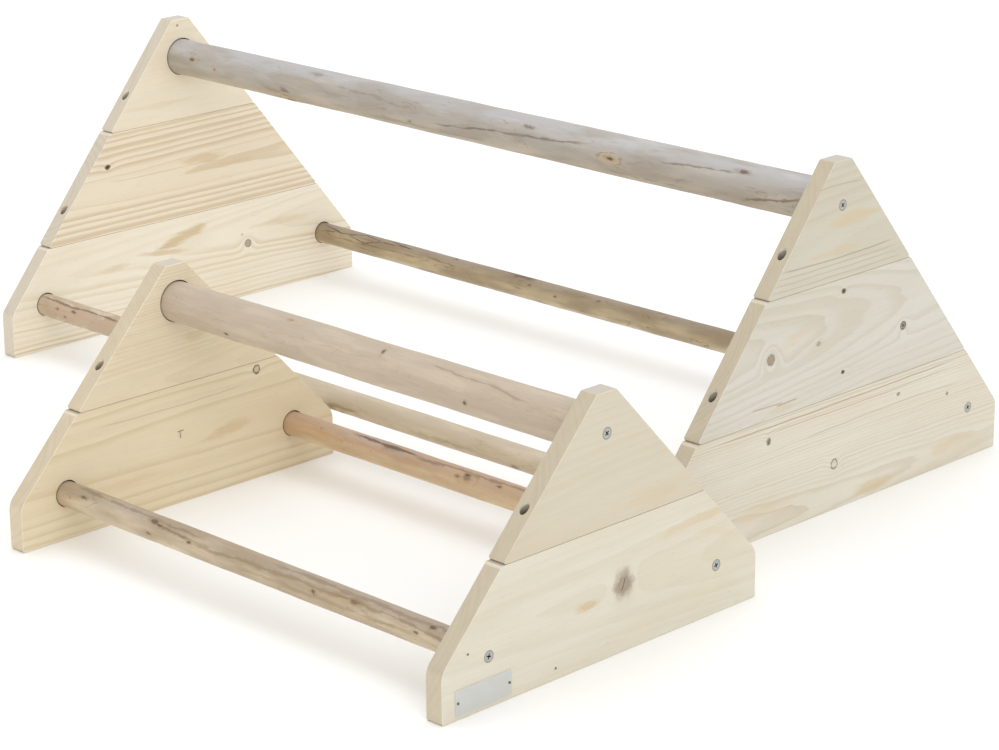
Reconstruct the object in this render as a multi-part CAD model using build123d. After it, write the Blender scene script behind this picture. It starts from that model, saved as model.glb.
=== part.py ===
"""Two free-standing wooden balance and climbing stands, a large one and a small one.

Each stand has two A-shaped end panels. A panel is a stack of horizontal softwood boards,
held together by long screws that are sunk in pockets in its sloping edges. Three round
rungs, one thick on top and two thinner ones low down, sit in blind sockets in the
panels' inner faces, and one countersunk screw from outside holds each rung end.

Millimetres, +Z up. X runs along the rungs, the small stand is in front of the large one
(towards -Y), and the origin is on the floor under the centre of the whole set's box.
"""

from build123d import *
import os
from dataclasses import dataclass

# Board stock, shared by both stands.
board_thickness = 20.0
arris_radius = 0.9
tip_radius = 2.5
corner_radius = 20.0

# Rung sockets: blind round holes, a little wider than the rung.
socket_depth = 8.0
socket_clearance = 0.5
rung_end_chamfer = 1.0

# Pocket bores that take the joining screws down through the sloping edges.
pocket_radius = 4.5
pocket_mouth_above_seam = 40.0
pocket_floor_above_seam = 26.0

# Air left round each screw, and between the two stands where they come closest.
screw_clearance = 0.05
stand_gap = 3.0
cut_overrun = 5.0

# Label plate, nailed to the small stand's right panel.
plate_length = 68.0
plate_height = 24.0
plate_thickness = 0.8
plate_corner_radius = 2.0
plate_from_front_edge = 15.0
plate_above_floor = 4.0
nail_inset = 3.0
nail_head_radius = 1.3
nail_head_height = 0.6
nail_shank_radius = 0.6
nail_length = 10.0


@dataclass(frozen=True)
class StandSize:
    """The driving sizes of one stand."""

    name: str
    board_count: int
    board_width: float
    half_base: float
    corner_height: float
    half_top: float
    rung_length: float
    top_rung_radius: float
    top_rung_height: float
    low_rung_radius: float
    low_rung_height: float
    low_rung_offset: float

    @property
    def height(self):
        return self.board_count * self.board_width

    @property
    def inner_half_length(self):
        return self.rung_length / 2 - socket_depth

    @property
    def outer_half_length(self):
        return self.inner_half_length + board_thickness


@dataclass(frozen=True)
class ScrewSize:
    """A countersunk wood screw with a cross recess."""

    shank_radius: float
    head_radius: float
    head_rim: float
    length: float
    point_length: float


large = StandSize(
    name="large",
    board_count=3,
    board_width=120.0,
    half_base=266.0,
    corner_height=51.0,
    half_top=13.0,
    rung_length=1000.0,
    top_rung_radius=21.5,
    top_rung_height=315.0,
    low_rung_radius=13.0,
    low_rung_height=55.0,
    low_rung_offset=217.0,
)

small = StandSize(
    name="small",
    board_count=2,
    board_width=125.0,
    half_base=203.0,
    corner_height=47.0,
    half_top=12.5,
    rung_length=580.0,
    top_rung_radius=20.75,
    top_rung_height=212.0,
    low_rung_radius=13.0,
    low_rung_height=47.5,
    low_rung_offset=147.0,
)

rung_screw = ScrewSize(shank_radius=2.5, head_radius=4.9, head_rim=0.4, length=50.0, point_length=5.0)
joining_screw = ScrewSize(shank_radius=2.25, head_radius=4.2, head_rim=0.4, length=70.0, point_length=5.0)
recess_depth = 2.6
recess_span = 5.2
recess_width = 1.3
recess_taper = 8.0
screw_turn_step = 37.0

# The small stand is shifted along the rungs, with its rear corners just clear of the front rung.
small_shift_x = 304.0
small_shift_y = -(large.low_rung_offset + large.low_rung_radius + stand_gap + small.half_base)

# Box of the whole set, measured from the large stand's centre, to put the origin under its middle.
set_left = -large.outer_half_length
set_right = small_shift_x + small.outer_half_length + plate_thickness + nail_head_height
set_front = small_shift_y - small.half_base
set_rear = large.half_base
large_centre = Pos(-(set_left + set_right) / 2, -(set_front + set_rear) / 2, 0)
small_centre = large_centre * Pos(small_shift_x, small_shift_y, 0)

board_names = {2: ("lower", "upper"), 3: ("lower", "middle", "upper")}
sides = {"left": -1, "right": 1}


def half_width(stand, height):
    """Half the panel's width at a height: upright corners, then slopes up to a flat top."""
    if height <= stand.corner_height:
        return stand.half_base
    share = (height - stand.corner_height) / (stand.height - stand.corner_height)
    return stand.half_base + share * (stand.half_top - stand.half_base)


def along_x(radius, start, end, y, z):
    """A cylinder from one X to another."""
    middle = Pos((start + end) / 2, y, z)
    return middle * Rot(0, 90, 0) * Cylinder(radius, abs(end - start))


def rung_places(stand):
    """Name, radius, Y and Z of each rung."""
    low = stand.low_rung_radius
    offset = stand.low_rung_offset
    return (
        ("top_rung", stand.top_rung_radius, 0.0, stand.top_rung_height),
        ("front_rung", low, -offset, stand.low_rung_height),
        ("rear_rung", low, offset, stand.low_rung_height),
    )


def joint_places(stand):
    """Y and seam height of each joining screw in one panel."""
    places = []
    for seam in range(1, stand.board_count):
        seam_height = seam * stand.board_width
        mouth = half_width(stand, seam_height + pocket_mouth_above_seam)
        for front_or_rear in (-1, 1):
            places.append((front_or_rear * mouth, seam_height))
    return places


def screw_body(size, clearance=0.0, overrun=0.0):
    """The screw's turned shape, head at the origin, point down. Clearance makes it a cutter."""
    head = size.head_radius + clearance
    shank = size.shank_radius + clearance
    neck = size.head_rim + size.head_radius - size.shank_radius
    profile = Polyline(
        (0, overrun),
        (head, overrun),
        (head, -size.head_rim),
        (shank, -neck),
        (shank, -(size.length - size.point_length)),
        (0, -(size.length + clearance)),
        close=True,
    )
    return revolve(Plane.XZ * make_face(profile), Axis.Z)


def screw(size, turn):
    """A screw with its cross recess turned to the angle that it was driven to."""
    cross = Rectangle(recess_span, recess_width) + Rectangle(recess_width, recess_span)
    recess = extrude(cross, -recess_depth, taper=recess_taper)
    return Rot(0, 0, turn) * (screw_body(size) - recess)


def rung_screw_location(stand, side, y, z):
    """Where a rung screw's head sits: flush in the panel's outer face, pointing inwards."""
    return Pos(side * stand.outer_half_length, y, z) * Rot(0, side * 90, 0)


def joining_screw_location(stand, side, y, seam_height):
    """Where a joining screw's head sits: on the pocket's floor, in the middle of the board."""
    middle = stand.inner_half_length + board_thickness / 2
    return Pos(side * middle, y, seam_height + pocket_floor_above_seam)


def board_blank(stand, side, index):
    """One board of a panel, with its tips and upright corners rounded and every arris eased."""
    bottom = index * stand.board_width
    top = bottom + stand.board_width
    rear_points = [(half_width(stand, bottom), bottom)]
    if bottom < stand.corner_height < top:
        rear_points.append((stand.half_base, stand.corner_height))
    rear_points.append((half_width(stand, top), top))
    front_points = [(-y, z) for y, z in reversed(rear_points)]
    outline = make_face(Polyline(*rear_points, *front_points, close=True))
    tips = [point for point in outline.vertices() if abs(point.Y - stand.corner_height) > 1]
    outline = fillet(tips, tip_radius)
    corners = [point for point in outline.vertices() if abs(point.Y - stand.corner_height) < 1]
    if corners:
        outline = fillet(corners, corner_radius)
    low_x = min(side * stand.inner_half_length, side * stand.outer_half_length)
    board = extrude(Plane.YZ.offset(low_x) * outline, board_thickness)
    face_edges = board.faces().filter_by(Axis.X).edges()
    return fillet(face_edges, arris_radius)


def panel_cutters(stand, side):
    """Everything that is bored out of one panel."""
    cutters = []
    inner = side * stand.inner_half_length
    for _, radius, y, z in rung_places(stand):
        start = inner - side * cut_overrun
        end = inner + side * socket_depth
        cutters.append(along_x(radius + socket_clearance, start, end, y, z))
        hole = screw_body(rung_screw, screw_clearance, cut_overrun)
        cutters.append(rung_screw_location(stand, side, y, z) * hole)
    for y, seam_height in joint_places(stand):
        place = joining_screw_location(stand, side, y, seam_height)
        depth = pocket_mouth_above_seam - pocket_floor_above_seam + 2 * pocket_radius
        pocket = Cylinder(pocket_radius, depth, align=(Align.CENTER, Align.CENTER, Align.MIN))
        cutters.append(place * pocket)
        cutters.append(place * screw_body(joining_screw, screw_clearance))
    if stand is small and side == 1:
        cutters += [place * nail(screw_clearance) for place in nail_locations()]
    return cutters


def panel_boards(stand, side_name):
    """The boards of one panel, lowest first."""
    side = sides[side_name]
    cutters = panel_cutters(stand, side)
    boards = {}
    for index, board_name in enumerate(board_names[stand.board_count]):
        board = board_blank(stand, side, index)
        for cutter in cutters:
            board -= cutter
        boards[f"{stand.name}_{side_name}_{board_name}_board"] = board
    return boards


def rungs(stand):
    """Three round bars, drilled at both ends for their screws."""
    bars = {}
    half = stand.rung_length / 2
    for name, radius, y, z in rung_places(stand):
        bar = along_x(radius, -half, half, y, z)
        bar = chamfer(bar.edges().filter_by(GeomType.CIRCLE), rung_end_chamfer)
        for side in sides.values():
            bar -= rung_screw_location(stand, side, y, z) * screw_body(rung_screw, screw_clearance)
        bars[f"{stand.name}_{name}"] = bar
    return bars


def rung_screws(stand, side_name):
    """The three screws that hold the rungs to one panel."""
    side = sides[side_name]
    group = []
    for count, (_, _, y, z) in enumerate(rung_places(stand)):
        turn = (count + side) * screw_turn_step
        group.append(rung_screw_location(stand, side, y, z) * screw(rung_screw, turn))
    return {f"{stand.name}_{side_name}_rung_screws": Compound(group)}


def joining_screws(stand, side_name):
    """The screws that pull one panel's boards together."""
    side = sides[side_name]
    group = []
    for count, (y, seam_height) in enumerate(joint_places(stand)):
        turn = (count + side) * screw_turn_step
        place = joining_screw_location(stand, side, y, seam_height)
        group.append(place * screw(joining_screw, turn))
    return {f"{stand.name}_{side_name}_joining_screws": Compound(group)}


def plate_location():
    """The plate's middle, on the outer face of the small stand's right panel."""
    y = -small.half_base + plate_from_front_edge + plate_length / 2
    z = plate_above_floor + plate_height / 2
    return Pos(small.outer_half_length, y, z) * Rot(0, 90, 0)


def nail_locations():
    """The underside of each nail's head, on the plate, pointing out of the panel."""
    reach = plate_length / 2 - nail_inset
    return [plate_location() * Pos(0, end * reach, plate_thickness) for end in (-1, 1)]


def nail(clearance=0.0):
    """A small nail with a domed head. Clearance makes its shank a cutter."""
    bottom_up = (Align.CENTER, Align.CENTER, Align.MIN)
    top_down = (Align.CENTER, Align.CENTER, Align.MAX)
    shank = Cylinder(nail_shank_radius + clearance, nail_length + clearance, align=top_down)
    head = Cylinder(nail_head_radius, nail_head_height, align=bottom_up)
    rim = head.edges().filter_by(GeomType.CIRCLE).group_by(Axis.Z)[-1]
    return shank + fillet(rim, nail_head_height / 2)


def label_plate():
    """A blank metal plate with rounded corners and a nail at each end."""
    face = RectangleRounded(plate_height, plate_length, plate_corner_radius)
    plate = plate_location() * extrude(face, plate_thickness)
    for place in nail_locations():
        plate -= place * nail(screw_clearance)
    nails = Compound([place * nail() for place in nail_locations()])
    return {"label_plate": plate, "label_plate_nails": nails}


def stand_parts(stand):
    """Every piece of one stand, about its own centre."""
    parts = {}
    for side_name in sides:
        parts.update(panel_boards(stand, side_name))
        parts.update(rung_screws(stand, side_name))
        parts.update(joining_screws(stand, side_name))
    parts.update(rungs(stand))
    return parts


def write_parts(parts, centre):
    """One STEP file per piece, moved to the stand's place in the set."""
    for name, shape in parts.items():
        export_step(centre * shape, f"parts/{name}.step")


os.makedirs("parts", exist_ok=True)
write_parts(stand_parts(large), large_centre)
write_parts(stand_parts(small) | label_plate(), small_centre)
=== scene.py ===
"""The looks of a pair of low wooden climbing stands.

Softwood panels, debarked round rungs, zinc screws and a blank metal plate. Pieces and
materials are worked out in millimetres."""

import math
from dataclasses import dataclass, field

import bpy
from mathutils import Matrix, Vector, noise


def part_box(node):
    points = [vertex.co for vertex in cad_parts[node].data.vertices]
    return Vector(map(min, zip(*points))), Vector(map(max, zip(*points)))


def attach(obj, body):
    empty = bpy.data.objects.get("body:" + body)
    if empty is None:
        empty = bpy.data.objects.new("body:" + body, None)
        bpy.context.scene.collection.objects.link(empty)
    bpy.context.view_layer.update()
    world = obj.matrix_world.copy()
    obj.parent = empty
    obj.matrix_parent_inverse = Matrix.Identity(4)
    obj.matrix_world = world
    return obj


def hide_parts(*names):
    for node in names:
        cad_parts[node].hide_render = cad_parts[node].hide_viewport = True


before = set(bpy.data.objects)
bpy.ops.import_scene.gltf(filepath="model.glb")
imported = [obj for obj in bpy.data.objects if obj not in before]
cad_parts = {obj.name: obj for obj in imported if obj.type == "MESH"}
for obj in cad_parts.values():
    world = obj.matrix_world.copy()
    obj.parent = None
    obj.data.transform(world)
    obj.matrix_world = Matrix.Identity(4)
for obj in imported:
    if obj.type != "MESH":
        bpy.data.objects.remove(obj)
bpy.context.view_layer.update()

MM = 0.001  # metres in a millimetre; every material and rung below is described in millimetres


def srgb(red, green, blue):
    """A colour given as 0 to 255 display values, as the linear colour that a shader socket takes."""
    shares = (red / 255, green / 255, blue / 255)
    linear = [share / 12.92 if share <= 0.04045 else ((share + 0.055) / 1.055) ** 2.4 for share in shares]
    return (*linear, 1.0)


# ------------------------------------------------------------------------------ node material writer


class Graph:
    """Writes one node material.

    Each method adds nodes and returns an output, so a pattern reads as a formula.
    place is the surface point in millimetres from origin, along the frame's axes."""

    def __init__(self, name, origin=(0.0, 0.0, 0.0)):
        self.material = bpy.data.materials.new(name)
        self.material.use_nodes = True
        self.tree = self.material.node_tree
        self.tree.nodes.clear()
        self.surface = self.add("ShaderNodeNewGeometry")
        coordinates = self.add("ShaderNodeTexCoord").outputs["Object"]
        shift = tuple(-value / MM for value in origin)
        self.place = self.vector("MULTIPLY_ADD", coordinates, (1 / MM,) * 3, shift)

    def add(self, kind, **settings):
        node = self.tree.nodes.new(kind)
        for name, value in settings.items():
            setattr(node, name, value)
        return node

    def feed(self, socket, value):
        if isinstance(value, bpy.types.NodeSocket):
            self.tree.links.new(value, socket)
        else:
            socket.default_value = value

    def math(self, operation, *values):
        node = self.add("ShaderNodeMath", operation=operation)
        for socket, value in zip(node.inputs, values):
            self.feed(socket, value)
        return node.outputs[0]

    def total(self, first, *others):
        for other in others:
            first = self.math("ADD", first, other)
        return first

    def product(self, first, *others):
        for other in others:
            first = self.math("MULTIPLY", first, other)
        return first

    def vector(self, operation, *values):
        node = self.add("ShaderNodeVectorMath", operation=operation)
        for socket, value in zip(node.inputs, values):
            self.feed(socket, value)
        return node.outputs["Value" if operation == "LENGTH" else "Vector"]

    def split(self, vector):
        node = self.add("ShaderNodeSeparateXYZ")
        self.feed(node.inputs[0], vector)
        return node.outputs[0], node.outputs[1], node.outputs[2]

    def join(self, x, y, z):
        node = self.add("ShaderNodeCombineXYZ")
        for socket, value in zip(node.inputs, (x, y, z)):
            self.feed(socket, value)
        return node.outputs[0]

    def facing(self):
        """The surface's own direction along X, Y and Z."""
        return self.split(self.surface.outputs["Normal"])

    def noise(self, size, seed, detail=2.0, roughness=0.5, place=None):
        """Smooth noise around 0.5, with features about size = (x, y, z) millimetres long."""
        offset = (7.31 * seed, 3.17 * seed, 5.93 * seed)
        scale = tuple(1 / value for value in size)
        node = self.add("ShaderNodeTexNoise")
        self.feed(node.inputs["Vector"], self.vector("MULTIPLY_ADD", place or self.place, scale, offset))
        self.feed(node.inputs["Scale"], 1.0)
        self.feed(node.inputs["Detail"], detail)
        self.feed(node.inputs["Roughness"], roughness)
        return node.outputs[0]

    def swing(self, size, seed, reach, detail=2.0):
        """Noise from about -reach to +reach."""
        return self.math("MULTIPLY_ADD", self.noise(size, seed, detail), 3 * reach, -1.5 * reach)

    def ramp(self, value, start, end, low=0.0, high=1.0):
        """low before start, high past end, and a smooth step between them. start may be past end."""
        if start > end:
            start, end, low, high = end, start, high, low
        node = self.add("ShaderNodeMapRange", interpolation_type="SMOOTHSTEP")
        for socket, given in zip(node.inputs, (value, start, end, low, high)):
            self.feed(socket, given)
        return node.outputs[0]

    def mix(self, share, first, second):
        node = self.add("ShaderNodeMix", data_type="RGBA")
        share_socket, first_socket, second_socket = node.inputs[0], node.inputs[6], node.inputs[7]
        self.feed(share_socket, share)
        self.feed(first_socket, first)
        self.feed(second_socket, second)
        return node.outputs[2]

    def shade(self, colour, amount):
        """colour times (1 + amount), for a number output that swings around 0."""
        factor = self.math("ADD", amount, 1.0)
        return self.vector("MULTIPLY", colour, self.join(factor, factor, factor))

    def finish(self, colour, roughness, height=None, depth=0.1, metallic=0.0, specular=0.5):
        """Closes the material. height is 0 to 1 for a relief depth millimetres deep."""
        shader = self.add("ShaderNodeBsdfPrincipled")
        self.feed(shader.inputs["Base Color"], colour)
        self.feed(shader.inputs["Roughness"], roughness)
        self.feed(shader.inputs["Metallic"], metallic)
        self.feed(shader.inputs["Specular IOR Level"], specular)
        if height is not None:
            bump = self.add("ShaderNodeBump")
            self.feed(bump.inputs["Strength"], 1.0)
            self.feed(bump.inputs["Distance"], depth * MM)
            self.feed(bump.inputs["Height"], height)
            self.feed(shader.inputs["Normal"], bump.outputs[0])
        output = self.add("ShaderNodeOutputMaterial")
        self.feed(output.inputs["Surface"], shader.outputs[0])
        return self.material


# -------------------------------------------------------------------------------------- panel boards


@dataclass
class Knot:
    """A branch seen in a board's face.

    Lengths are millimetres, y from the stand's middle and z above the floor."""

    y: float
    z: float
    radius: float
    stretch: float = 1.3  # how much longer it is along the board
    core: float = 0.5  # how brown the middle is, 0 to 1
    rim: float = 0.6  # how dark the bark ring round it is, 0 to 1
    push: float = 1.0  # how far it parts the rings, in its own radii
    dark: float = 0.0  # how close its middle is to black bark, 0 to 1
    halo: float = 0.0  # how much greyed wood lies round it, out to three radii
    crack: float = None  # direction of a drying crack through it, in degrees from the grain


@dataclass
class Stain:
    """A soft patch of darker, resin-rich wood. Lengths are millimetres, placed as a Knot is."""

    y: float
    z: float
    half_length: float
    half_height: float
    strength: float = 0.5
    slope: float = 0.0  # rise per millimetre along the board


@dataclass
class Line:
    """One thin dark year ring that stands out, from y_start to y_end. Millimetres, placed as a Knot is."""

    y_start: float
    y_end: float
    z: float
    strength: float = 0.5
    bow: float = 0.0  # how much higher its ends are than its middle
    rise: float = 0.0  # how much higher its rear end is than its front end


@dataclass
class Board:
    """How one panel board was sawn from its tree. Lengths are millimetres."""

    seed: float
    heart_depth: float = -60.0  # where the tree's heart is, across the board from its middle
    heart_height: float = 60.0  # and up from the board's lower edge
    taper: float = 0.02  # how fast the heart comes nearer along the board
    lean: float = 0.0  # and how fast it rises
    ring: float = 4.5  # width of a year ring
    contrast: float = 0.6  # how much of the late wood's colour its rings show
    fade: tuple = (900, 901)  # heights above the floor between which its rings fade to a quarter
    sway: float = 3.0  # how far the rings wander over a hand's width
    ripple: float = 0.7  # and over a finger's width
    light: tuple = (229, 217, 194)
    warm: tuple = (224, 208, 180)
    late: tuple = (196, 174, 138)
    edge: tuple = (187, 175, 152)  # its sawn edges
    seam: float = 0.5  # how dark the painted shade is along the hairline where it meets the next board, 0 to 1
    knots: list = field(default_factory=list)
    stains: list = field(default_factory=list)
    lines: list = field(default_factory=list)


@dataclass
class Panel:
    """The outline that the boards of one stand's panels were sawn to. Lengths are millimetres."""

    corner_height: float
    half_top: float


PANELS = {"large": Panel(corner_height=51, half_top=13), "small": Panel(corner_height=47, half_top=12.5)}
KNOT_BROWN = srgb(158, 130, 100)
KNOT_GREY = srgb(142, 129, 110)
BARK = srgb(62, 48, 36)
RESIN = srgb(204, 180, 138)
# painted shade along the hairline between two boards
SEAM_SHADE = srgb(120, 102, 76)
# painted light in the notch where two boards meet at their sawn edges
NOTCH_LIGHT = srgb(238, 229, 210)
# wear and a painted highlight along the eased corners
ARRIS_WEAR_AND_HIGHLIGHT = srgb(232, 224, 206)
# painted cool grey of the light from above, on upward-facing edges
PAINTED_COOL_TOP_LIGHT = srgb(190, 186, 181)
# painted shade in the screw pockets and in the gaps round the rungs
HOLLOW_SHADE = srgb(66, 50, 32)
# painted shadow ring round each sunk screw head
COUNTERSINK_SHADE = srgb(96, 86, 70)
SCREW_HEAD_RADIUS = 4.9
RELIEF = 0.12  # millimetres between the early wood and the late wood's raised lines


def knot_distance(g, knot):
    """Distance from a knot's middle in its own radii, over an uneven outline."""
    _, y, z = g.split(g.place)
    dy = g.math("MULTIPLY_ADD", y, 1 / knot.stretch, -knot.y / knot.stretch)
    dz = g.math("SUBTRACT", z, knot.z)
    size = knot.radius * 1.4
    wobble = g.swing((size, size, size), knot.y + knot.z, 0.13)
    distance = g.math("DIVIDE", g.vector("LENGTH", g.join(0.0, dy, dz)), knot.radius)
    return g.math("ADD", distance, wobble)


def knot_push(g, knot, distance):
    """How far the year rings are moved outwards round a knot, in millimetres."""
    near = g.math("EXPONENT", g.product(distance, distance, -0.16))
    return g.product(near, knot.push * knot.radius)


def paint_knot(g, colour, knot, distance):
    """A knot with its own small rings, a bark ring and, for some, a crack."""
    if knot.halo:
        smoky = g.total(distance, g.swing((7, 7, 7), knot.y, 0.8, 3.0))
        colour = g.mix(g.ramp(smoky, 2.7, 0.9, 0.0, knot.halo), colour, KNOT_GREY)
    rings = g.math("SINE", g.product(distance, 11.0))
    core_colour = g.mix(g.ramp(rings, -1.0, 1.0, 0.25, 0.75), KNOT_BROWN, KNOT_GREY)
    inside = g.ramp(distance, 1.15, 0.8, 0.0, knot.core)
    colour = g.mix(inside, colour, core_colour)
    if knot.dark:
        colour = g.mix(g.ramp(distance, 0.95, 0.4, 0.0, knot.dark), colour, BARK)
    off_rim = g.math("ABSOLUTE", g.math("SUBTRACT", distance, 1.0))
    uneven = g.ramp(g.noise((3, 3, 3), knot.y, 1.0), 0.3, 0.6, 0.35, 1.0)
    colour = g.mix(g.product(g.ramp(off_rim, 0.34, 0.02, 0.0, knot.rim), uneven), colour, BARK)
    if knot.crack is None:
        return colour
    _, y, z = g.split(g.place)
    turn = math.radians(knot.crack)
    across = g.total(g.product(y, -math.sin(turn)), g.product(z, math.cos(turn)))
    middle = knot.z * math.cos(turn) - knot.y * math.sin(turn)
    jagged = g.swing((4, 4, 4), knot.z, 1.1)
    off_crack = g.math("ABSOLUTE", g.total(g.math("SUBTRACT", across, middle), jagged))
    split = g.product(g.ramp(off_crack, 0.8, 0.2), g.ramp(distance, 1.0, 0.7))
    return g.mix(g.product(split, 0.85), colour, BARK)


def stain_share(g, stain):
    """How much of a stain's colour shows at a point."""
    _, y, z = g.split(g.place)
    dy = g.math("SUBTRACT", y, stain.y)
    dz = g.math("SUBTRACT", g.math("SUBTRACT", z, stain.z), g.product(dy, stain.slope))
    flat = g.join(0.0, g.product(dy, 1 / stain.half_length), g.product(dz, 1 / stain.half_height))
    ragged = g.swing((30, 26, 6), stain.y + stain.z, 0.5, 3.0)
    return g.ramp(g.total(g.vector("LENGTH", flat), ragged), 1.1, 0.35, 0.0, stain.strength)


def line_share(g, line):
    """How much of a single dark ring line shows at a point."""
    _, y, z = g.split(g.place)
    middle, half = (line.y_start + line.y_end) / 2, (line.y_end - line.y_start) / 2
    reach = g.math("MULTIPLY_ADD", y, 1 / half, -middle / half)
    bowed = g.product(g.math("SUBTRACT", g.product(reach, reach), 0.5), -line.bow)
    bowed = g.total(bowed, g.product(reach, -line.rise / 2))
    wavy = g.swing((60, 50, 60), line.z, 0.8)
    off = g.math("ABSOLUTE", g.total(g.math("SUBTRACT", z, line.z), bowed, wavy))
    ends = g.ramp(g.math("ABSOLUTE", reach), 1.0, 0.75)
    return g.product(g.ramp(off, 1.1, 0.2), ends, line.strength)


def year_rings(g, board, height, knots):
    """The tree's rings where they meet the board's surface: the share of late wood at a point, 0 to 1."""
    x, y, z = g.split(g.place)
    dx = g.math("SUBTRACT", x, g.math("MULTIPLY_ADD", y, board.taper, board.heart_depth))
    dz = g.math("SUBTRACT", z, g.math("MULTIPLY_ADD", y, board.lean, height + board.heart_height))
    distance = g.vector("LENGTH", g.join(dx, 0.0, dz))
    sway = g.swing((70, 260, 70), board.seed, board.sway)
    ripple = g.swing((13, 75, 13), board.seed + 3, board.ripple)
    distance = g.total(distance, sway, ripple, *[knot_push(g, knot, away) for knot, away in knots])
    years = g.product(distance, 1 / board.ring)
    uneven_years = g.product(g.noise((1, 1, 1), board.seed + 5, 1.0, place=g.join(years, 0.0, 0.0)), 1.3)
    years = g.total(years, uneven_years)
    part = g.math("FRACT", years)
    late = g.product(g.ramp(part, 0.25, 0.9), g.ramp(part, 1.0, 0.93))
    year = g.join(g.product(years, 0.45), 0.0, board.seed)
    strength = g.ramp(g.noise((1, 1, 1), board.seed + 9, 1.0, place=year), 0.3, 0.68, 0.25, 1.0)
    return g.product(late, strength)


def softwood(name, node, stand_y, board, seams):
    """Planed spruce: rings worked out through the whole board, so faces and sawn edges show the same tree."""
    low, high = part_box(node)
    g = Graph(name, ((low.x + high.x) / 2, stand_y, 0.0))
    knots = [(knot, knot_distance(g, knot)) for knot in board.knots]
    late = year_rings(g, board, low.z / MM, knots)
    cloud = g.ramp(g.noise((60, 240, 60), board.seed + 11, 3.0), 0.35, 0.65)
    colour = g.mix(cloud, srgb(*board.light), srgb(*board.warm))
    _, _, z = g.split(g.place)
    fade_height = g.total(z, g.swing((60, 90, 20), board.seed + 7, 6.0))
    late = g.product(late, g.ramp(fade_height, *board.fade, 1.0, 0.25))
    colour = g.mix(g.product(late, board.contrast), colour, srgb(*board.late))
    for stain in board.stains:
        colour = g.mix(stain_share(g, stain), colour, RESIN)
    for line in board.lines:
        colour = g.mix(line_share(g, line), colour, KNOT_BROWN)
    fibres = g.noise((2.2, 45, 0.9), board.seed + 13, 3.0, 0.6)
    colour = g.shade(colour, g.math("MULTIPLY_ADD", fibres, 0.16, -0.08))
    ducts = g.ramp(g.noise((1.5, 11, 0.7), board.seed + 17, 0.0), 0.74, 0.82, 0.0, -0.10)
    colour = g.shade(colour, ducts)
    colour = sawn_ends(g, colour, late, board)
    for knot, away in knots:
        colour = paint_knot(g, colour, knot, away)
    colour = worn_and_highlit_arrises(g, colour)
    colour = painted_seam_shade_and_notch_light(g, colour, seams, board.seam)
    colour = painted_pocket_shade(g, colour, node.split("_")[0], seams)
    colour = painted_socket_and_head_shade(g, colour, node, stand_y)
    roughness = g.total(g.math("MULTIPLY_ADD", fibres, 0.16, 0.50), g.product(late, -0.08))
    height = g.total(g.product(late, 0.6), g.product(fibres, 0.55))
    return g.finish(colour, roughness, height, RELIEF, specular=0.35)


def on_sawn_edge(g):
    """1 on a board's sawn edges, 0 on its faces."""
    side, _, _ = g.facing()
    return g.ramp(g.math("ABSOLUTE", side), 0.45, 0.1)


def sawn_ends(g, colour, late, board):
    """The edges all round, mostly cut across the fibres: greyer, with pores and the rings as faint arcs. The
    upright ends facing front and back get painted light, and the upward-facing tops a painted cool grey of
    the light from above.
    """
    _, out, up = g.facing()
    pores = g.noise((0.9, 0.9, 0.9), board.seed + 19, 2.0)
    blotches = g.noise((9, 22, 16), board.seed + 23, 2.0)
    end = g.mix(g.product(late, 0.12), srgb(*board.edge), KNOT_GREY)
    end = g.shade(end, g.math("MULTIPLY_ADD", pores, 0.20, -0.10))
    end = g.shade(end, g.math("MULTIPLY_ADD", blotches, 0.14, -0.07))
    # painted light: the upright ends facing front and back are made lighter
    end = g.shade(end, g.ramp(g.math("ABSOLUTE", out), 0.88, 1.0, 0.0, 0.13))
    # painted light: upward-facing edges tinted the cool grey of the light from above
    end = g.mix(g.ramp(up, 0.8, 1.0, 0.0, 0.6), end, PAINTED_COOL_TOP_LIGHT)
    return g.mix(g.product(on_sawn_edge(g), 0.92), colour, end)


def worn_and_highlit_arrises(g, colour):
    """The eased corner lines, handled smooth and a little paler than the faces beside them: partly wear,
    partly a painted highlight along the rounding.
    """
    side, _, _ = g.facing()
    turned = g.math("ABSOLUTE", side)
    corner = g.product(g.ramp(turned, 0.12, 0.3), g.ramp(turned, 0.96, 0.8))
    patchy = g.ramp(g.noise((20, 30, 20), 31.0, 2.0), 0.3, 0.7, 0.0, 0.3)
    # paler where the surface turns round the corner: wear and a painted highlight
    return g.mix(g.product(corner, patchy), colour, ARRIS_WEAR_AND_HIGHLIGHT)


def painted_seam_shade_and_notch_light(g, colour, seams, strength):
    """The hairline between two joined boards: painted shade along it on the faces, and painted light in the
    notch at the sawn edges, against the shade that the notch holds.
    """
    _, _, z = g.split(g.place)
    on_edge = on_sawn_edge(g)
    for seam in seams:
        off = g.math("ABSOLUTE", g.math("SUBTRACT", z, seam))
        # painted light: the notch on the sawn edges is made pale, against its shade
        notch = g.ramp(off, 3.0, 1.6, 0.0, 0.4)
        colour = g.mix(g.product(notch, on_edge), colour, NOTCH_LIGHT)
        # painted shade along the hairline on the faces
        colour = g.mix(g.ramp(off, 0.45, 0.1, 0.0, strength), colour, SEAM_SHADE)
    return colour


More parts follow.
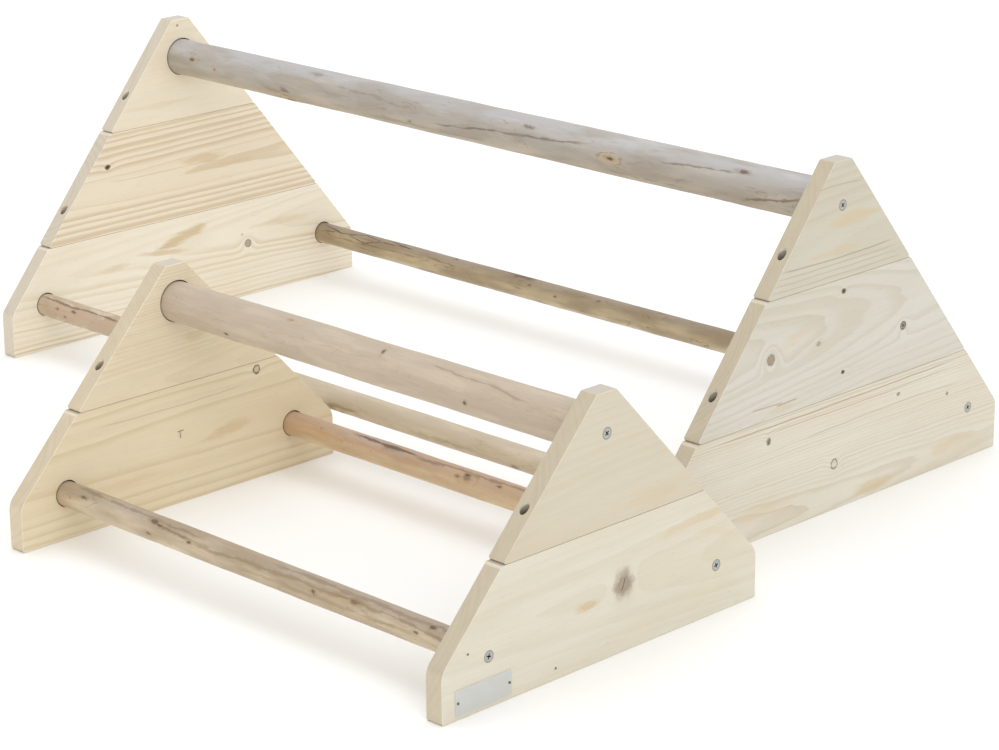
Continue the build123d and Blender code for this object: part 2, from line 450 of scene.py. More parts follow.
def painted_pocket_shade(g, colour, stand, seams):
    """Deep inside the screw pockets the wood is rough, with painted shade that darkens with depth."""
    panel = PANELS[stand]
    low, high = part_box(f"{stand}_left_lower_board")
    half_base = (high.y - low.y) / 2 / MM
    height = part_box(f"{stand}_left_upper_board")[1].z / MM
    x, y, z = g.split(g.place)
    out = g.math("ABSOLUTE", y)
    slope = math.atan2(height - panel.corner_height, half_base - panel.half_top)
    reach = half_base * math.sin(slope) + panel.corner_height * math.cos(slope)
    outwards = g.total(g.product(out, math.sin(slope)), g.product(z, math.cos(slope)))
    under_slope = g.math("SUBTRACT", reach, outwards)
    under_corner = g.math("SUBTRACT", half_base, out)
    under_top = g.math("SUBTRACT", height, z)
    depth = g.math("MINIMUM", under_slope, g.math("MINIMUM", under_corner, g.math("MINIMUM", under_top, z)))
    inside = g.ramp(g.math("ABSOLUTE", x), 6.5, 5.5)
    for seam in seams:
        inside = g.product(inside, g.ramp(g.math("ABSOLUTE", g.math("SUBTRACT", z, seam)), 6.0, 9.0))
    # painted shade, darker the deeper a point lies inside a screw pocket
    dark = g.product(g.ramp(depth, 1.3, 2.2), g.ramp(depth, 2.0, 9.0, 0.5, 0.92))
    return g.mix(g.product(dark, inside), colour, HOLLOW_SHADE)


def painted_socket_and_head_shade(g, colour, node, stand_y):
    """Painted shade in thin rings: round each rung on the inner side where it enters its socket, and round
    each sunk screw head on the outer side.
    """
    stand = node.split("_")[0]
    x, y, z = g.split(g.place)
    inwards = g.product(x, 1.0 if "_left_" in node else -1.0)
    in_socket = g.ramp(inwards, 0.5, 1.5)
    on_outside = g.ramp(inwards, -9.0, -9.6)
    for rung in ("top", "front", "rear"):
        low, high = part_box(f"{stand}_{rung}_rung")
        radius = (high.z - low.z) / 2 / MM
        dy = g.math("SUBTRACT", y, ((low.y + high.y) / 2 - stand_y) / MM)
        dz = g.math("SUBTRACT", z, (low.z + high.z) / 2 / MM)
        away = g.vector("LENGTH", g.join(0.0, dy, dz))
        # painted shadow in the gap round the rung, on the board's inner face
        gap = g.ramp(g.math("SUBTRACT", away, radius), 1.0, 0.5, 0.0, 0.8)
        colour = g.mix(g.product(gap, in_socket), colour, HOLLOW_SHADE)
        # painted shadow ring round the sunk screw head, on the board's outer face
        off_head = g.math("ABSOLUTE", g.math("SUBTRACT", away, SCREW_HEAD_RADIUS + 0.4))
        sink_shade = g.ramp(off_head, 0.6, 0.2, 0.0, 0.75)
        colour = g.mix(g.product(sink_shade, on_outside), colour, COUNTERSINK_SHADE)
    return colour


# --------------------------------------------------------------------------------------- round rungs


@dataclass
class Spot:
    """A small branch scar on a rung.

    x is millimetres from the rung's middle, and turn is degrees up from its front."""

    x: float
    turn: float
    radius: float
    tone: float = 0.6  # how dark it is, 0 to 1
    stretch: float = 1.8  # how much longer it is along the rung
    ring: float = 0.0  # how much of a tan ring lies round it
    swell: float = 0.0  # how far the wood stands up round it, in millimetres


@dataclass
class Streak:
    """A long mark along a rung.

    x runs in millimetres from the rung's middle, and turns are degrees up from its front."""

    x_start: float
    x_end: float
    turn_start: float
    turn_end: float
    width: float = 4.0  # millimetres
    tone: float = 0.5
    sway: float = 3.0  # millimetres
    colour: tuple = (112, 88, 66)


@dataclass
class Rung:
    """How one debarked round rung looks and how uneven it is."""

    seed: float
    upper: tuple
    middle: tuple
    lower: tuple
    patch: tuple
    patches: float = 0.4  # how much the patches show
    figure: float = 0.3  # how much the fine wavy lines show
    growth: float = 0.01  # how much thicker its right end is than its middle, as a share
    lumps: float = 0.3  # millimetres
    spots: list = field(default_factory=list)
    streaks: list = field(default_factory=list)


FIGURE_BROWN = srgb(120, 96, 70)
SPOT_BROWN = srgb(92, 70, 52)
SPOT_RING = srgb(196, 170, 122)
RUNG_STEP = 2.5  # millimetres between the mesh's rings along a rung
RUNG_SIDES = 56
RUNG_CHAMFER = 1.0
END_TRIM = 0.35  # millimetres that a rung's ends are trimmed to go into their sockets
END_DROP = 0.25  # and how low they sit in them


def spot_middle(spot, radius):
    """A spot's place in millimetres from the rung's middle."""
    turn = math.radians(spot.turn)
    return Vector((spot.x, -radius * math.cos(turn), radius * math.sin(turn)))


def paint_spot(g, colour, spot, radius):
    """A branch scar: a dark eye, soft at its ends, inside a tan ring."""
    shift = tuple(-value for value in spot_middle(spot, radius))
    away = g.vector("ADD", g.place, shift)
    away = g.vector("MULTIPLY", away, (1 / (spot.radius * spot.stretch), 1 / spot.radius, 1 / spot.radius))
    size = 1.2 * spot.radius
    distance = g.total(g.vector("LENGTH", away), g.swing((2 * size, size, size), spot.x, 0.6, 3.0))
    if spot.ring:
        halo = g.product(g.ramp(distance, 2.6, 1.2), spot.ring)
        colour = g.mix(halo, colour, SPOT_RING)
        off_edge = g.math("ABSOLUTE", g.math("SUBTRACT", distance, 2.0))
        broken = g.ramp(g.noise((9, 5, 5), spot.x, 1.0), 0.4, 0.6)
        colour = g.mix(g.product(g.ramp(off_edge, 0.4, 0.05, 0.0, spot.ring), broken), colour, FIGURE_BROWN)
    colour = g.mix(g.ramp(distance, 1.5, 0.6, 0.0, 0.45 * spot.tone), colour, FIGURE_BROWN)
    return g.mix(g.ramp(distance, 0.8, 0.35, 0.0, spot.tone), colour, SPOT_BROWN)


def paint_streak(g, colour, streak, radius, turn, seed):
    """A long wavy mark that follows the grain and fades at both ends."""
    x, _, _ = g.split(g.place)
    length = streak.x_end - streak.x_start
    rise = math.radians(streak.turn_end - streak.turn_start) / length
    start = math.radians(streak.turn_start) - rise * streak.x_start
    off = g.product(g.math("SUBTRACT", turn, g.math("MULTIPLY_ADD", x, rise, start)), radius)
    off = g.total(off, g.swing((45, 60, 60), seed + streak.x_start, streak.sway))
    thick = g.ramp(g.noise((16, 7, 7), seed + streak.x_end, 3.0, 0.65), 0.35, 0.65, 0.2, 1.1)
    near = g.ramp(g.math("DIVIDE", g.math("ABSOLUTE", off), g.product(thick, streak.width / 2)), 1.3, 0.3)
    fade = min(0.2 * length, 25)
    begun = g.ramp(x, streak.x_start, streak.x_start + fade)
    ended = g.ramp(x, streak.x_end, streak.x_end - fade)
    return g.mix(g.product(near, begun, ended, streak.tone), colour, srgb(*streak.colour))


def round_wood(name, origin, radius, rung):
    """A debarked branch: pale bast-scraped wood with cloudy patches, wavy figure lines, streaks and scars."""
    g = Graph(name, origin)
    _, y, z = g.split(g.place)
    turn = g.math("ARCTAN2", z, g.product(y, -1.0))
    level = g.product(z, 1 / radius)
    drift = g.swing((70, 25, 25), rung.seed, 0.35, 3.0)
    colour = g.mix(g.ramp(g.total(level, drift), -0.9, 0.0), srgb(*rung.lower), srgb(*rung.middle))
    colour = g.mix(g.ramp(g.total(level, drift), 0.1, 0.95), colour, srgb(*rung.upper))
    cloud = g.noise((80, 18, 18), rung.seed + 2, 3.0, 0.5)
    colour = g.mix(g.ramp(cloud, 0.42, 0.62, 0.0, rung.patches), colour, srgb(*rung.patch))
    paler = g.noise((80, 14, 14), rung.seed + 4, 3.0, 0.55)
    colour = g.shade(colour, g.ramp(paler, 0.48, 0.62, -0.03, 0.06))
    bent = g.noise((95, 22, 22), rung.seed + 6, 3.0, 0.5)
    off_line = g.math("ABSOLUTE", g.math("SUBTRACT", g.math("FRACT", g.product(bent, 7.0)), 0.5))
    broken = g.ramp(g.noise((60, 18, 18), rung.seed + 8, 2.0), 0.45, 0.62)
    lines = g.product(g.ramp(off_line, 0.06, 0.0), broken, rung.figure)
    colour = g.mix(lines, colour, FIGURE_BROWN)
    fibres = g.noise((28, 1.3, 1.3), rung.seed + 10, 3.0, 0.6)
    colour = g.shade(colour, g.math("MULTIPLY_ADD", fibres, 0.22, -0.11))
    flecks = g.ramp(g.noise((7, 1.4, 1.4), rung.seed + 12, 1.0), 0.70, 0.80, 0.0, -0.22)
    colour = g.shade(colour, flecks)
    for streak in rung.streaks:
        colour = paint_streak(g, colour, streak, radius, turn, rung.seed)
    for spot in rung.spots:
        colour = paint_spot(g, colour, spot, radius)
    roughness = g.total(g.math("MULTIPLY_ADD", fibres, 0.14, 0.50), g.product(cloud, -0.08))
    height = g.total(g.product(fibres, 0.45), g.product(cloud, 0.5), g.product(flecks, 1.2))
    return g.finish(colour, roughness, height, 0.22, specular=0.35)


def rung_radius(rung, radius, half_length, x, turn):
    """The uneven radius of a rung at a place along and round it. Near its sockets it is turned true."""
    clear = min(1.0, max(0.0, (half_length - abs(x) - 10) / 25))
    around = Vector((x / 70, math.cos(turn) * 0.8, math.sin(turn) * 0.8 + rung.seed))
    lump = rung.lumps * noise.noise(around) + 0.4 * rung.lumps * noise.noise(around * 3.1)
    for spot in rung.spots:
        if spot.swell:
            middle = spot_middle(spot, radius)
            here = Vector((x, -radius * math.cos(turn), radius * math.sin(turn)))
            gap = here - middle
            gap.x /= spot.stretch
            lump += spot.swell * math.exp(-((gap.length / (2.0 * spot.radius)) ** 2))
    return radius * (1 + rung.growth * clear * x / half_length) + clear * lump - END_TRIM * (1 - clear)


def make_rung(node, body, rung):
    """An uneven debarked rung in place of a CAD one, on the same axis and in the same two sockets."""
    low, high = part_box(node)
    middle = (low + high) / 2
    half_length = (high.x - low.x) / 2 / MM
    radius = (high.z - low.z) / 2 / MM
    steps = round(2 * (half_length - RUNG_CHAMFER) / RUNG_STEP)
    inner = half_length - RUNG_CHAMFER
    places = [-half_length, *[inner * (2 * i / steps - 1) for i in range(steps + 1)], half_length]
    points = []
    for x in places:
        for side in range(RUNG_SIDES):
            turn = 2 * math.pi * side / RUNG_SIDES
            here = rung_radius(rung, radius, half_length, x, turn)
            if abs(x) > inner + RUNG_CHAMFER / 2:
                here -= RUNG_CHAMFER
            points.append(Vector((x, -here * math.cos(turn), here * math.sin(turn) - END_DROP)) * MM)
    faces = []
    for ring in range(len(places) - 1):
        for side in range(RUNG_SIDES):
            this, following = ring * RUNG_SIDES, (ring + 1) * RUNG_SIDES
            next_side = (side + 1) % RUNG_SIDES
            faces.append((this + side, this + next_side, following + next_side, following + side))
    last = (len(places) - 1) * RUNG_SIDES
    faces.append(tuple(reversed(range(RUNG_SIDES))))
    faces.append(tuple(last + side for side in range(RUNG_SIDES)))
    mesh = bpy.data.meshes.new(node + "_wood")
    mesh.from_pydata(points, [], faces)
    mesh.validate()
    for face in mesh.polygons:
        face.use_smooth = len(face.vertices) == 4
    piece = bpy.data.objects.new(node + "_wood", mesh)
    bpy.context.scene.collection.objects.link(piece)
    piece.location = middle
    mesh.materials.append(round_wood(node + "_debarked", (0.0, 0.0, 0.0), radius, rung))
    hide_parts(node)
    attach(piece, body)
    return piece


# --------------------------------------------------------------------------------------------- metal


def zinc(name, face_x):
    """Dull zinc plating with spangles, with painted shade where a driver recess goes in behind the head's
    face.
    """
    g = Graph(name)
    x, _, _ = g.split(g.place)
    grey = g.mix(g.noise((1.6, 1.6, 1.6), 3.0, 3.0), srgb(150, 150, 150), srgb(198, 198, 197))
    depth = g.math("ABSOLUTE", g.math("SUBTRACT", x, face_x / MM))
    # painted shade, darker the further a point lies behind the head's face
    colour = g.mix(g.ramp(depth, 0.3, 1.2, 0.0, 0.85), grey, srgb(52, 52, 56))
    scratches = g.noise((0.4, 0.4, 2.5), 5.0, 3.0)
    roughness = g.math("MULTIPLY_ADD", scratches, 0.3, 0.24)
    return g.finish(colour, roughness, scratches, 0.02, metallic=0.85)


def brushed_plate(name):
    """Brushed light sheet metal, its scratches along the plate and its rim worn bright."""
    g = Graph(name)
    brushing = g.noise((3, 24, 0.22), 2.0, 3.0, 0.6)
    handled = g.noise((6, 14, 8), 4.0, 3.0)
    colour = g.mix(brushing, srgb(190, 191, 188), srgb(216, 217, 214))
    colour = g.shade(colour, g.math("MULTIPLY_ADD", handled, 0.14, -0.07))
    face, _, _ = g.facing()
    rim = g.ramp(g.math("ABSOLUTE", face), 0.9, 0.5)
    colour = g.mix(g.product(rim, 0.6), colour, srgb(236, 236, 233))
    roughness = g.total(g.math("MULTIPLY_ADD", brushing, 0.2, 0.30), g.product(handled, 0.12))
    return g.finish(colour, roughness, brushing, 0.03, metallic=0.7)


def dull_nail(name):
    """A small steel nail head, darker than the plate, with a little rust at its edge."""
    g = Graph(name)
    spots = g.noise((0.8, 0.8, 0.8), 6.0, 3.0)
    colour = g.mix(g.ramp(spots, 0.4, 0.7), srgb(96, 94, 90), srgb(126, 112, 96))
    return g.finish(colour, g.math("MULTIPLY_ADD", spots, 0.3, 0.35), spots, 0.05, metallic=0.6)


def pale_floor():
    """A near-white studio floor with the faintest unevenness."""
    g = Graph("pale_floor")
    cloud = g.noise((700, 700, 700), 1.0, 3.0)
    grain = g.noise((5, 5, 5), 2.0, 2.0)
    colour = g.mix(cloud, srgb(248, 248, 247), srgb(251, 251, 250))
    roughness = g.math("MULTIPLY_ADD", grain, 0.1, 0.8)
    return g.finish(colour, roughness, grain, 0.1, specular=0.1)


# ------------------------------------------------------------------------------------ the two stands


def dress(node, material):
    """Gives a CAD node its finish."""
    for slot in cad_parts[node].material_slots:
        slot.material = material


BOARDS = {
    "large_left_lower_board": Board(
        seed=1.0, heart_depth=-34, heart_height=82, taper=0.034, ring=4.9, contrast=0.75,
        fade=(46, 78), sway=2.5,
        light=(236, 228, 210), warm=(233, 222, 201), late=(203, 178, 138), edge=(198, 188, 170),
        knots=[
            Knot(93, 66, 4.6, stretch=1.0, core=0.7, rim=0.7, push=1.1),
            Knot(84, 79, 1.4, core=0.4, rim=0.3, push=0.4),
        ],
        stains=[
            Stain(-10, 95, 46, 8, 0.8, 0.2),
            Stain(-40, 81, 44, 4, 0.55, -0.12),
            Stain(-118, 77, 26, 5, 0.45, 0.05),
            Stain(150, 84, 60, 5, 0.3, -0.04),
        ],
    ),
    "large_left_middle_board": Board(
        seed=2.0, heart_depth=-16, heart_height=54, taper=0.012, lean=0.008, ring=6.2,
        contrast=0.66, sway=1.5,
        light=(232, 221, 199), warm=(229, 216, 192), late=(198, 171, 132), edge=(198, 188, 170), seam=0.35,
        knots=[Knot(-118, 201, 2.8, core=0.9, rim=1.0, push=0.8, dark=1.0)],
        stains=[Stain(26, 186, 40, 7, 0.6), Stain(60, 172, 60, 4, 0.25)],
        lines=[Line(-120, 60, 181, 0.22, 1.5)],
    ),
    "large_left_upper_board": Board(
        seed=3.0, heart_depth=-95, heart_height=50, taper=0.03, ring=6.5, contrast=0.2,
        light=(232, 221, 199), warm=(230, 217, 193), late=(206, 186, 150), edge=(198, 188, 170), seam=0.35,
        knots=[Knot(-5, 353, 1.3, core=0.8, rim=0.4, push=0.4)],
        stains=[Stain(-40, 262, 60, 4, 0.2)],
    ),
    "large_right_lower_board": Board(
        seed=4.0, heart_depth=-26, heart_height=16, taper=-0.02, ring=2.9, contrast=0.4, sway=2.4, ripple=1.0,
        light=(216, 210, 195), warm=(213, 205, 187), late=(176, 160, 131), seam=0.4,
        knots=[
            Knot(-3, 49, 4.8, stretch=1.0, core=0.12, rim=0.75, push=0.8),
            Knot(98, 98, 1.8, core=0.8, rim=0.8, push=0.8),
            Knot(180, 79, 1.6, core=0.8, rim=0.6, push=0.8),
            Knot(-105, 98, 3.4, stretch=0.9, core=0.7, rim=0.5, push=1.2, dark=0.5, crack=76.0),
        ],
        stains=[Stain(64, 10, 42, 8, 0.5), Stain(190, 22, 40, 9, 0.35, 0.05), Stain(-120, 30, 60, 8, 0.25)],
        lines=[
            Line(-200, 205, 113, 0.7, 1.0),
            Line(-120, 190, 106, 0.35, 2.0),
            Line(-60, 210, 88, 0.35, -3.0),
        ],
    ),
    "large_right_middle_board": Board(
        seed=5.0, heart_depth=-64, heart_height=76, taper=-0.06, ring=5.0, contrast=0.3, sway=4.0,
        light=(207, 203, 192), warm=(203, 198, 184), late=(178, 164, 138), seam=0.4,
        knots=[
            Knot(-104, 181, 5.4, stretch=1.0, core=0.85, rim=0.45, push=2.2),
            Knot(102, 170, 4.0, stretch=1.0, core=0.35, rim=1.0, push=1.2, dark=0.8),
            Knot(5, 227, 2.3, core=0.9, rim=1.0, push=1.0, dark=1.0),
            Knot(7, 143, 1.8, core=0.9, rim=1.0, push=1.0, dark=1.0),
            Knot(-32, 181, 2.2, core=0.6, rim=0.3),
        ],
        # the second stain, a thin band just under the crack lines, is painted shade beside the crack
        stains=[Stain(-66, 196, 30, 9, 0.3, 0.25), Stain(-92, 127, 30, 3, 0.4, 0.04)],
        lines=[Line(-132, -84, 134, 0.6, 0.0, -2.0), Line(-96, -62, 132, 0.7, 0.0, 1.0)],
    ),
    "large_right_upper_board": Board(
        seed=6.0, heart_depth=-80, heart_height=30, taper=0.03, ring=5.5, contrast=0.24,
        light=(200, 195, 179), warm=(197, 190, 172), late=(174, 158, 126), seam=0.4,
        stains=[Stain(20, 300, 46, 8, 0.5), Stain(-10, 270, 50, 5, 0.35, 0.02)],
        lines=[
            Line(-97, 86, 264, 0.6, 2.0),
            Line(-106, 92, 258, 0.35, 1.5),
            Line(-112, 98, 252, 0.3, 1.0),
            Line(-116, 104, 246, 0.3, 0.5),
            Line(-40, 30, 336, 0.4, -2.0),
        ],
    ),
    "small_left_lower_board": Board(
        seed=7.0, heart_depth=-34, heart_height=70, taper=0.012, ring=8.0, contrast=0.36, sway=1.6,
        light=(224, 211, 183), warm=(220, 204, 173), late=(190, 163, 120), edge=(200, 186, 160), seam=0.5,
        knots=[
            Knot(100, 117, 4.2, stretch=1.0, core=0.35, rim=0.95, push=0.6),
            Knot(-3, 72, 4.0, stretch=0.8, core=0.1, rim=0.0, push=0.3, crack=92.0),
        ],
        stains=[Stain(60, 63, 36, 8, 0.6, 0.1), Stain(-80, 40, 60, 5, 0.25)],
        lines=[Line(-110, 90, 104, 0.3, 1.5), Line(-7, 2, 76, 1.0)],
    ),
    "small_left_upper_board": Board(
        seed=8.0, heart_depth=-30, heart_height=8, taper=0.02, ring=2.9, contrast=0.3, sway=2.0,
        light=(226, 214, 188), warm=(222, 208, 179), late=(194, 172, 134), edge=(200, 186, 160), seam=0.5,
        stains=[Stain(22, 172, 18, 8, 0.45)],
    ),
    "small_right_lower_board": Board(
        seed=9.0, heart_depth=-56, heart_height=64, taper=0.03, ring=6.0, contrast=0.15, sway=3.0,
        light=(213, 208, 192), warm=(211, 203, 184), late=(184, 168, 137), seam=0.5,
        knots=[
            Knot(22, 65, 7.0, stretch=0.9, core=0.35, rim=0.15, push=1.3, halo=0.75, crack=66.0),
            Knot(-23, 58, 3.2, stretch=2.4, core=0.1, rim=0.1, push=0.5),
            Knot(-172, 57, 1.0, core=0.9, rim=0.8, push=0.3, dark=0.8),
            Knot(-65, 11, 1.0, core=0.9, rim=0.8, push=0.3, dark=0.8),
        ],
        stains=[
            Stain(120, 100, 50, 6, 0.4, 0.05),
            Stain(-26, 58, 20, 6, 0.65),
            Stain(150, 80, 26, 5, 0.2, -0.3),
        ],
    ),
    "small_right_upper_board": Board(
        seed=10.0, heart_depth=-85, heart_height=-10, taper=0.04, ring=6.0, contrast=0.12,
        light=(203, 195, 176), warm=(202, 190, 168), late=(180, 162, 130), seam=0.5,
        stains=[Stain(60, 140, 50, 12, 0.25)],
    ),
}

RUNGS = {
    "large_top_rung": Rung(
        seed=11.0, upper=(178, 175, 174), middle=(176, 168, 158), lower=(190, 178, 158),
        patch=(156, 144, 127),
        patches=0.5, figure=0.35, growth=0.03, lumps=0.45,
        spots=[
            Spot(-448, 16, 3.4, 0.85, 1.5, 0.15, 0.3),
            Spot(-407, 1, 2.6, 0.45, 1.3, 0.2),
            Spot(-285, -16, 4.4, 0.45, 1.8),
            Spot(-283, -58, 4.4, 0.55, 2.0, 0.4, 0.4),
            Spot(-239, 59, 5.0, 0.35, 2.6),
            Spot(-78, -24, 2.2, 0.6),
            Spot(101, 40, 3.0, 0.5, 3.2),
            Spot(223, 3, 2.9, 0.95, 2.8, 0.45, 0.5),
            Spot(371, -58, 2.0, 0.7, 2.0),
            Spot(396, 48, 3.2, 0.75, 3.4, 0.0, 0.3),
            Spot(150, 150, 4.0, 0.6, 2.0, 0.5, 0.4),
            Spot(-160, 200, 3.0, 0.6, 2.0, 0.3, 0.3),
        ],
        streaks=[
            Streak(-50, 100, -14, 14, 3.4, 0.7, 2.5, (108, 96, 82)),
            Streak(80, 190, 8, 28, 3.8, 0.65, 2.0, (108, 96, 82)),
            Streak(285, 400, 22, 42, 3.2, 0.6, 1.5, (108, 96, 82)),
            Streak(395, 485, -34, 8, 5.0, 0.75, 2.0, (124, 100, 70)),
            Streak(-330, -250, -10, -60, 7.0, 0.45, 3.0, (148, 118, 94)),
            Streak(-210, -60, 40, 12, 5.0, 0.4, 3.0, (132, 118, 104)),
            Streak(-150, 40, -40, -34, 5.0, 0.35, 3.0, (136, 120, 100)),
            Streak(200, 330, -30, -44, 3.0, 0.4, 3.0),
        ],
    ),
    "large_front_rung": Rung(
        seed=12.0, upper=(194, 180, 160), middle=(206, 191, 168), lower=(212, 197, 174),
        patch=(184, 170, 138),
        patches=0.35, figure=0.2, growth=-0.01, lumps=0.35,
        spots=[
            Spot(30, -46, 1.8, 0.7, 2.0),
            Spot(287, -30, 2.8, 0.6, 2.2),
            Spot(-455, 20, 2.0, 0.7, 2.0),
            Spot(-440, -8, 1.8, 0.6, 2.0),
            Spot(-425, 30, 2.2, 0.7, 2.4),
            Spot(-180, 30, 2.4, 0.6, 2.0, 0.3, 0.3),
            Spot(-320, 170, 3.0, 0.6, 2.0, 0.4, 0.3),
        ],
        streaks=[
            Streak(5, 60, -20, -12, 8.0, 0.65, 2.0, (150, 142, 82)),
            Streak(130, 240, -22, -10, 9.0, 0.4, 3.0, (162, 152, 110)),
            Streak(-500, -300, 10, 16, 70.0, 0.55, 2.0, (170, 138, 108)),
            Streak(-500, -330, 62, 54, 4.0, 0.7, 2.0, (100, 76, 60)),
            Streak(-300, -80, 40, 60, 4.0, 0.3, 3.0, (150, 122, 96)),
        ],
    ),
    "large_rear_rung": Rung(
        seed=13.0, upper=(150, 135, 115), middle=(182, 163, 131), lower=(202, 186, 158), patch=(140, 121, 93),
        patches=0.6, figure=0.9, growth=0.04, lumps=0.4,
        spots=[
            Spot(-249, 80, 2.2, 0.9, 2.0),
            Spot(-118, 40, 2.2, 0.8),
            Spot(-74, 15, 2.0, 0.8),
            Spot(-9, 52, 2.4, 0.6),
            Spot(-139, 85, 7.0, 0.5, 3.0),
            Spot(260, 140, 3.0, 0.6, 2.0, 0.4, 0.3),
        ],
        streaks=[
            Streak(-492, -440, 86, 40, 2.4, 0.9, 1.5, (70, 54, 38)),
            Streak(-485, -425, 30, 60, 2.4, 0.7, 1.5, (96, 76, 50)),
            Streak(-436, -404, 46, 84, 2.2, 0.95, 0.3, (74, 58, 38)),
            Streak(-412, -376, 82, 60, 2.2, 0.95, 0.3, (74, 58, 38)),
            Streak(-436, -400, 48, 20, 2.2, 0.9, 0.3, (74, 58, 38)),
            Streak(-404, -374, 22, 62, 2.2, 0.9, 0.3, (74, 58, 38)),
            Streak(-422, -386, 50, 46, 2.4, 0.5, 0.5, (120, 98, 66)),
            Streak(-380, -322, 58, 66, 2.2, 0.85, 1.0, (80, 62, 42)),
            Streak(-368, -320, 88, 60, 2.4, 0.8, 1.0, (80, 62, 42)),
            Streak(-300, -240, 50, 22, 3.4, 0.6, 3.0, (112, 92, 62)),
            Streak(-180, -110, 92, 84, 7.0, 0.7, 2.0, (112, 90, 74)),
            Streak(-470, -300, 10, 24, 2.6, 0.5, 2.0, (110, 88, 60)),
            Streak(400, 490, 60, 70, 9.0, 0.5, 2.0, (110, 102, 94)),
        ],
    ),
    "small_top_rung": Rung(
        seed=14.0, upper=(186, 171, 153), middle=(194, 178, 157), lower=(204, 188, 166),
        patch=(178, 160, 140),
        patches=0.35, figure=0.16, growth=0.015, lumps=0.4,
        spots=[
            Spot(-186, -28, 2.0, 0.9, 2.2),
            Spot(-103, 70, 2.6, 0.3, 3.0, 0.12),
            Spot(30, 58, 4.2, 0.8, 0.7, 0.1, 0.4),
            Spot(147, -7, 2.8, 0.8, 1.1, 0.1, 0.4),
            Spot(-200, 160, 3.0, 0.6, 2.0, 0.3, 0.3),
        ],
        streaks=[
            Streak(80, 230, 66, 40, 3.4, 0.55, 3.0, (146, 124, 102)),
            Streak(-120, 40, 20, 34, 1.8, 0.2, 3.0, (150, 130, 110)),
        ],
    ),
    "small_front_rung": Rung(
        seed=15.0, upper=(172, 157, 138), middle=(196, 178, 151), lower=(212, 195, 169),
        patch=(158, 138, 108),
        patches=0.5, figure=0.35, growth=0.0, lumps=0.4,
        spots=[
            Spot(-243, 41, 2.2, 0.7, 3.0),
            Spot(-138, 54, 3.4, 0.75, 2.6, 0.1, 0.4),
            Spot(-128, 46, 2.0, 0.7, 2.4),
            Spot(-140, -4, 1.8, 0.6, 2.4),
            Spot(-146, -48, 1.8, 0.6, 2.4),
            Spot(-82, 24, 2.4, 0.75, 1.8, 0.1, 0.3),
            Spot(92, 19, 2.0, 0.8, 2.4),
            Spot(145, 40, 3.0, 0.55, 2.8, 0.1, 0.3),
            Spot(224, 16, 2.0, 0.7, 2.4),
            Spot(241, 57, 2.8, 0.85, 2.0),
        ],
        streaks=[
            Streak(-270, -60, 84, 56, 6.0, 0.5, 2.0, (120, 98, 78)),
            Streak(-150, -60, 54, 26, 4.0, 0.6, 2.0, (112, 90, 66)),
            Streak(-90, 160, 22, 46, 6.0, 0.5, 2.5, (136, 112, 82)),
            Streak(20, 285, 76, 64, 7.0, 0.5, 2.0, (124, 102, 84)),
            Streak(100, 290, 44, 30, 5.0, 0.5, 3.0, (128, 102, 74)),
            Streak(-20, 240, 0, 6, 6.0, 0.4, 3.0, (150, 126, 92)),
        ],
    ),
    "small_rear_rung": Rung(
        seed=16.0, upper=(176, 154, 134), middle=(202, 176, 142), lower=(216, 192, 156),
        patch=(186, 152, 116),
        patches=0.45, figure=0.35, growth=0.0, lumps=0.4,
        spots=[
            Spot(-12, 42, 4.4, 0.45, 1.6, 0.15, 0.5),
            Spot(-14, 56, 2.4, 0.9, 2.4),
            Spot(-26, 36, 2.2, 0.7, 1.8),
            Spot(30, 50, 2.0, 0.8, 1.8),
            Spot(-127, 66, 4.0, 0.45, 3.0),
            Spot(180, 20, 2.4, 0.6, 2.0, 0.3, 0.3),
        ],
        streaks=[
            Streak(-190, -80, 80, 66, 6.0, 0.8, 2.0, (84, 62, 50)),
            Streak(-100, 140, 62, 76, 7.0, 0.6, 2.5, (112, 88, 72)),
            Streak(-270, -60, 26, 36, 8.0, 0.3, 3.0, (190, 136, 98)),
        ],
    ),
}


def stand_middle(stand):
    """Where a stand's top rung runs, along the frame's Y."""
    low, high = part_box(f"{stand}_top_rung")
    return (low.y + high.y) / 2


def board_seams(node):
    """Heights in millimetres at which a board meets the boards above and below it."""
    panel = node.rsplit("_", 2)[0]
    neighbours = [name for name in BOARDS if name.startswith(panel) and name != node]
    low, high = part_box(node)
    joined = []
    for name in neighbours:
        other_low, other_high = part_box(name)
        pairs = ((low.z, other_high.z), (high.z, other_low.z))
        joined += [edge for edge, other_edge in pairs if abs(edge - other_edge) < MM]
    return [edge / MM for edge in joined]


def dress_boards():
    for node, board in BOARDS.items():
        stand = node.split("_")[0]
        dress(node, softwood(node + "_softwood", node, stand_middle(stand), board, board_seams(node)))


def dress_screws():
    for stand in ("large", "small"):
        for side in ("left", "right"):
            heads = f"{stand}_{side}_rung_screws"
            low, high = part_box(heads)
            face = low.x if side == "left" else high.x
            dress(heads, zinc(heads + "_zinc", face))
            joining = f"{stand}_{side}_joining_screws"
            low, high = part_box(joining)
            dress(joining, zinc(joining + "_zinc", (low.x + high.x) / 2))


def make_rungs():
    for node, rung in RUNGS.items():
        make_rung(node, node.split("_")[0] + "_stand", rung)


def dress_plate():
    dress("label_plate", brushed_plate("label_plate_metal"))
    dress("label_plate_nails", dull_nail("nail_steel"))


# -------------------------------------------------------------------------------------------- studio


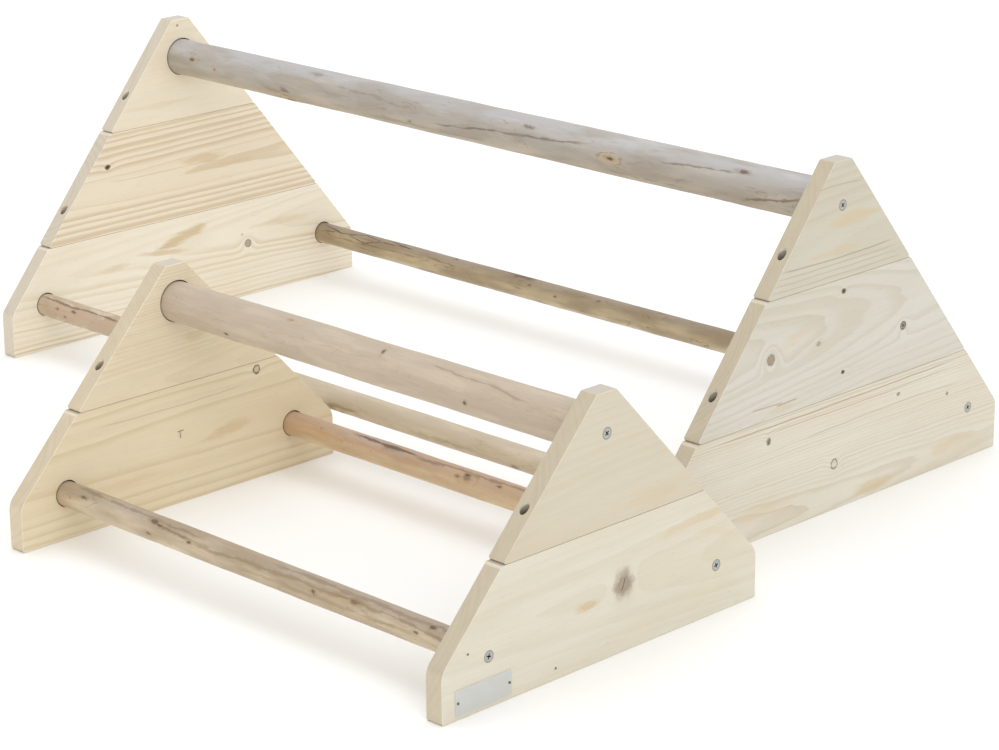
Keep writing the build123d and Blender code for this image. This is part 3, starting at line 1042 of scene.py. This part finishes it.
def floor():
    """A wide pale floor, level with the panels' feet."""
    reach = 20.0
    corners = [(-reach, -reach, 0), (reach, -reach, 0), (reach, reach, 0), (-reach, reach, 0)]
    mesh = bpy.data.meshes.new("studio_floor")
    mesh.from_pydata(corners, [], [(0, 1, 2, 3)])
    mesh.materials.append(pale_floor())
    piece = bpy.data.objects.new("studio_floor", mesh)
    bpy.context.scene.collection.objects.link(piece)


def daylight(strength, colour):
    """Even light from all round, as in a white studio."""
    world = bpy.data.worlds.new("white_studio")
    world.use_nodes = True
    background = world.node_tree.nodes["Background"]
    background.inputs["Color"].default_value = colour
    background.inputs["Strength"].default_value = strength
    bpy.context.scene.world = world


def softbox(name, place, target, width, power, colour):
    """A large square light that faces target."""
    light = bpy.data.lights.new(name, "AREA")
    light.shape = "SQUARE"
    light.size = width
    light.energy = power
    light.color = colour
    piece = bpy.data.objects.new(name, light)
    bpy.context.scene.collection.objects.link(piece)
    piece.location = place
    piece.rotation_euler = (Vector(target) - Vector(place)).to_track_quat("-Z", "Y").to_euler()


def studio():
    daylight(0.95, (1.0, 1.0, 1.0, 1.0))
    softbox("key_light", (3.2, -1.6, 2.6), (0.0, 0.0, 0.1), 2.6, 34.0, (1.0, 0.985, 0.96))
    softbox("top_light", (-0.6, 0.6, 3.4), (0.0, 0.0, 0.1), 3.2, 30.0, (0.95, 0.975, 1.0))
    bpy.context.scene.view_settings.view_transform = "Standard"


def camera():
    """A long lens on the corner between the right panels and the small stand's front, a little above."""
    azimuth, elevation, roll = math.radians(45.04), math.radians(17.99), math.radians(0.478)
    target = Vector((0.1028, 0.0740, 0.0871))
    distance = 3.2757
    back = Vector(
        (
            math.sin(azimuth) * math.cos(elevation),
            -math.cos(azimuth) * math.cos(elevation),
            math.sin(elevation),
        )
    )
    right = Vector((math.cos(azimuth), math.sin(azimuth), 0.0))
    up = back.cross(right)
    right, up = (
        math.cos(roll) * right - math.sin(roll) * up,
        math.sin(roll) * right + math.cos(roll) * up,
    )
    data = bpy.data.cameras.new("camera")
    data.lens = 112.65
    data.sensor_width = 36.0
    piece = bpy.data.objects.new("camera", data)
    bpy.context.scene.collection.objects.link(piece)
    turned = Matrix((right, up, back)).transposed().to_4x4()
    piece.matrix_world = Matrix.Translation(target + back * distance) @ turned
    bpy.context.scene.camera = piece


dress_boards()
dress_screws()
dress_plate()
make_rungs()
floor()
studio()
camera()
